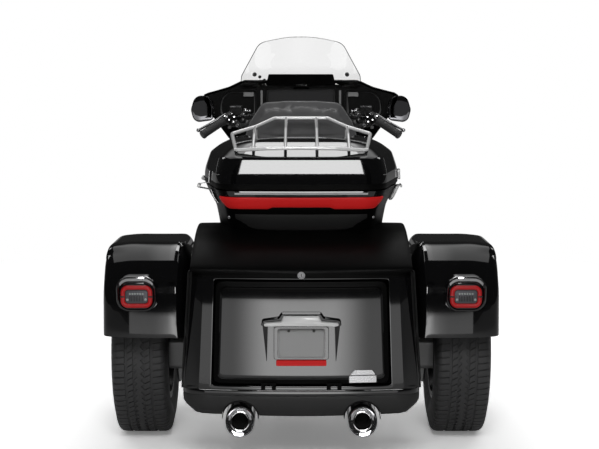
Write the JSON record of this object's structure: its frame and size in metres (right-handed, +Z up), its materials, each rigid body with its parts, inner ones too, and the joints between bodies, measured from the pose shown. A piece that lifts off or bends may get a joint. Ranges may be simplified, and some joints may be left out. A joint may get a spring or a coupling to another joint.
{
  "type": "touring motor trike",
  "caption": "Touring motor trike with one steered front wheel, two driven rear wheels, a luggage trunk with drop-down door, a lidded top case and a fork-mounted fairing.",
  "frame": {"origin": "on the floor under the middle of the trike's bounding box", "axes": "+X the rider's right, +Y towards the front wheel, +Z up"},
  "size_m": [1.3892, 2.6715, 1.438],
  "materials": {
    "black_paint": "gloss",
    "frame_black": "satin",
    "engine_black": "wrinkle",
    "chrome": "polished",
    "steel": "satin",
    "cast_alloy": "satin",
    "wheel_alloy": "machined",
    "tyre_rubber": "matte",
    "belt_rubber": "matte",
    "grip_rubber": "matte",
    "black_plastic": "matte",
    "grey_plastic": "matte",
    "seat_leather": "grained",
    "red_lens": "gloss",
    "plate_white": "gloss",
    "windscreen_clear": "clear"
  },
  "bodies": {
    "chassis": {"main_frame": "frame_black", "swingarm": "frame_black", "rear_shocks": "steel", "drive_belt": "belt_rubber", "rear_calipers": "cast_alloy", "crankcase": "engine_black", "engine_cylinders": "engine_black", "engine_covers": "chrome", "exhaust_pipes": "chrome", "mufflers": "chrome", "engine_guard": "chrome", "footboards": "black_plastic", "foot_controls": "chrome", "fuel_tank": "black_paint", "seat": "seat_leather", "backrest": "seat_leather", "side_covers": "black_paint", "trunk_body": "black_paint", "rear_valance": "grey_plastic", "rear_wings": "black_paint", "rear_lamps": "red_lens", "top_case": "black_paint", "case_hardware": "chrome"},
    "trunk_door": {"trunk_door": "black_paint", "plate_bracket": "black_plastic", "licence_plate": "plate_white"},
    "case_lid": {"case_lid": "black_paint", "luggage_rack": "chrome", "lid_fittings": "chrome"},
    "steering": {"front_fork": "chrome", "handlebar": "chrome", "hand_controls": "grip_rubber", "outer_fairing": "black_paint", "inner_fairing": "grey_plastic", "windscreen": "windscreen_clear", "mirrors": "black_paint", "front_lamps": "chrome", "front_mudguard": "black_paint", "front_calipers": "cast_alloy"},
    "front_wheel": {"front_wheel": "wheel_alloy", "front_tyre": "tyre_rubber"},
    "right_rear_wheel": {"right_rear_wheel": "wheel_alloy", "right_rear_tyre": "tyre_rubber"},
    "left_rear_wheel": {"left_rear_wheel": "wheel_alloy", "left_rear_tyre": "tyre_rubber"}
  },
  "joints": [
    {"name": "steering_head", "type": "hinge", "parent": "chassis", "child": "steering", "pos_m": [0, 0.68787, 0.845], "axis": [0, -0.4384, 0.8988], "range_deg": [-30, 30]},
    {"name": "front_wheel_spin", "type": "hinge", "parent": "steering", "child": "front_wheel", "pos_m": [0, 1, 0.32], "axis": [-1, 0, 0], "continuous": true},
    {"name": "right_rear_wheel_spin", "type": "hinge", "parent": "chassis", "child": "right_rear_wheel", "pos_m": [0.575, -0.67, 0.324], "axis": [-1, 0, 0], "continuous": true},
    {"name": "left_rear_wheel_spin", "type": "hinge", "parent": "chassis", "child": "left_rear_wheel", "pos_m": [-0.575, -0.67, 0.324], "axis": [-1, 0, 0], "continuous": true},
    {"name": "trunk_door_hinge", "type": "hinge", "parent": "chassis", "child": "trunk_door", "pos_m": [0, -1.274, 0.322], "axis": [1, 0, 0], "range_deg": [0, 90]},
    {"name": "case_lid_hinge", "type": "hinge", "parent": "chassis", "child": "case_lid", "pos_m": [-0.361, -0.82, 0.9485], "axis": [0, -1, 0], "range_deg": [0, 80]}
  ]
}
